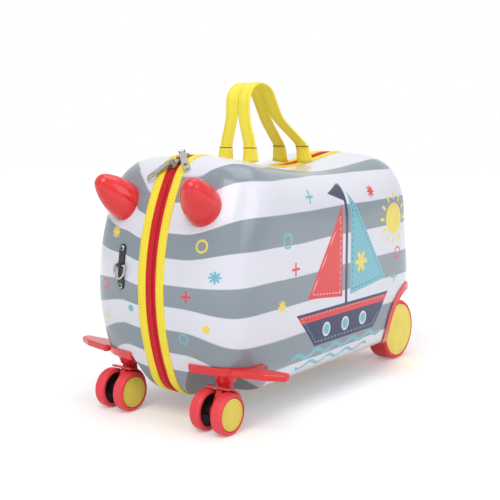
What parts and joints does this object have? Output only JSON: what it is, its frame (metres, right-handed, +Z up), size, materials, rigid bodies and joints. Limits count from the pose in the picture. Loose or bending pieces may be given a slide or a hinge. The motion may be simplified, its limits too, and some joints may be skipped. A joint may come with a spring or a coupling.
{
  "type": "ride-on suitcase",
  "caption": "Hard-shell child's ride-on suitcase that opens like a book, with hand grips, webbing carry straps, footrests, swivel casters and rear wheels.",
  "frame": {"origin": "on the floor under the middle of the whole case", "axes": "+X forward, towards the hand grips; +Y to the rider's left; +Z up"},
  "size_m": [0.5602, 0.348, 0.437],
  "materials": {
    "shell": "striped gloss print",
    "red_plastic": "gloss",
    "red_tyre": "semi-gloss",
    "dark_core": "matte",
    "yellow_cap": "semi-gloss",
    "yellow_webbing": "woven",
    "red_tape": "woven",
    "lining": "woven",
    "dark_webbing": "woven",
    "dark_buckle": "matte",
    "steel": "satin",
    "chrome": "polished",
    "dark_metal": "satin"
  },
  "bodies": {
    "left_half": {"shell_left": "shell", "lining_left": "lining", "zip_half_left": "red_tape", "hinge_tape_left": "red_tape", "binding_left": "yellow_webbing", "hand_grip_left": "red_plastic", "shell_screws_left": "steel", "footrest_bracket_left": "red_plastic", "rear_bracket_left": "red_plastic", "rear_axle_left": "steel", "strap_tabs_left": "yellow_webbing"},
    "right_half": {"shell_right": "shell", "lining_right": "lining", "zip_half_right": "red_tape", "hinge_tape_right": "red_tape", "binding_right": "yellow_webbing", "hand_grip_right": "red_plastic", "shell_screws_right": "steel", "footrest_bracket_right": "red_plastic", "rear_bracket_right": "red_plastic", "rear_axle_right": "steel", "strap_tabs_right": "yellow_webbing", "ring_plate": "dark_metal", "ring_rivets": "chrome", "packing_straps": "dark_webbing", "packing_buckle": "dark_buckle"},
    "caster_swivel_left": {"caster_stem_left": "steel", "caster_fork_left": "red_plastic", "caster_axle_left": "steel"},
    "caster_outer_wheel_left": {"caster_outer_tyre_left": "red_tyre", "caster_outer_core_left": "dark_core", "caster_outer_cap_left": "yellow_cap"},
    "caster_inner_wheel_left": {"caster_inner_tyre_left": "red_tyre", "caster_inner_core_left": "dark_core", "caster_inner_cap_left": "yellow_cap"},
    "rear_wheel_left": {"rear_tyre_left": "red_tyre", "rear_hub_left": "dark_core", "rear_cap_left": "yellow_cap"},
    "handle_left": {"carry_strap_left": "yellow_webbing"},
    "caster_swivel_right": {"caster_stem_right": "steel", "caster_fork_right": "red_plastic", "caster_axle_right": "steel"},
    "caster_outer_wheel_right": {"caster_outer_tyre_right": "red_tyre", "caster_outer_core_right": "dark_core", "caster_outer_cap_right": "yellow_cap"},
    "caster_inner_wheel_right": {"caster_inner_tyre_right": "red_tyre", "caster_inner_core_right": "dark_core", "caster_inner_cap_right": "yellow_cap"},
    "rear_wheel_right": {"rear_tyre_right": "red_tyre", "rear_hub_right": "dark_core", "rear_cap_right": "yellow_cap"},
    "handle_right": {"carry_strap_right": "yellow_webbing"},
    "d_ring": {"d_ring": "chrome"},
    "slider_front": {"zip_slider_front": "chrome"},
    "pull_front": {"zip_pull_front": "chrome"},
    "slider_rear": {"zip_slider_rear": "chrome"},
    "pull_rear": {"zip_pull_rear": "chrome"}
  },
  "joints": [
    {"name": "shell_open", "type": "hinge", "parent": "left_half", "child": "right_half", "pos_m": [0, 0, 0.029], "axis": [1, 0, 0], "range_deg": [0, 100]},
    {"name": "caster_turn_left", "type": "hinge", "parent": "left_half", "child": "caster_swivel_left", "pos_m": [0.2176, 0.0826, 0.055], "axis": [0, 0, 1], "continuous": true},
    {"name": "caster_outer_spin_left", "type": "hinge", "parent": "caster_swivel_left", "child": "caster_outer_wheel_left", "pos_m": [0.2349, 0.0826, 0.0262], "axis": [0, 1, 0], "continuous": true},
    {"name": "caster_inner_spin_left", "type": "hinge", "parent": "caster_swivel_left", "child": "caster_inner_wheel_left", "pos_m": [0.2349, 0.0826, 0.0262], "axis": [0, 1, 0], "continuous": true},
    {"name": "rear_spin_left", "type": "hinge", "parent": "left_half", "child": "rear_wheel_left", "pos_m": [-0.2321, 0.0675, 0.048], "axis": [0, 1, 0], "continuous": true},
    {"name": "handle_fold_left", "type": "hinge", "parent": "left_half", "child": "handle_left", "pos_m": [0.022, 0.0325, 0.347], "axis": [-1, 0, 0], "range_deg": [0, 75]},
    {"name": "caster_turn_right", "type": "hinge", "parent": "right_half", "child": "caster_swivel_right", "pos_m": [0.2176, -0.0826, 0.055], "axis": [0, 0, 1], "continuous": true},
    {"name": "caster_outer_spin_right", "type": "hinge", "parent": "caster_swivel_right", "child": "caster_outer_wheel_right", "pos_m": [0.2349, -0.0826, 0.0262], "axis": [0, 1, 0], "continuous": true},
    {"name": "caster_inner_spin_right", "type": "hinge", "parent": "caster_swivel_right", "child": "caster_inner_wheel_right", "pos_m": [0.2349, -0.0826, 0.0262], "axis": [0, 1, 0], "continuous": true},
    {"name": "rear_spin_right", "type": "hinge", "parent": "right_half", "child": "rear_wheel_right", "pos_m": [-0.2321, -0.0675, 0.048], "axis": [0, 1, 0], "continuous": true},
    {"name": "handle_fold_right", "type": "hinge", "parent": "right_half", "child": "handle_right", "pos_m": [0.022, -0.0325, 0.347], "axis": [1, 0, 0], "range_deg": [0, 75]},
    {"name": "d_ring_swing", "type": "hinge", "parent": "right_half", "child": "d_ring", "pos_m": [0.26381, -0.05209, 0.19963], "axis": [-0.0748, -0.9972, 0], "range_deg": [0, 110]},
    {"name": "zip_run_front", "type": "hinge", "parent": "left_half", "child": "slider_front", "pos_m": [0.18297, 0, 0.28895], "axis": [0, 1, 0], "range_deg": [0, 13]},
    {"name": "pull_lift_front", "type": "hinge", "parent": "slider_front", "child": "pull_front", "pos_m": [0.22066, 0, 0.33231], "axis": [-0.5947, -0.6157, 0.517], "range_deg": [0, 90]},
    {"name": "zip_run_rear", "type": "hinge", "parent": "left_half", "child": "slider_rear", "pos_m": [0.18297, 0, 0.28895], "axis": [0, -1, 0], "range_deg": [0, 18]},
    {"name": "pull_lift_rear", "type": "hinge", "parent": "slider_rear", "child": "pull_rear", "pos_m": [0.20167, 0, 0.34327], "axis": [0.6568, -0.7193, -0.2262], "range_deg": [0, 90]}
  ]
}
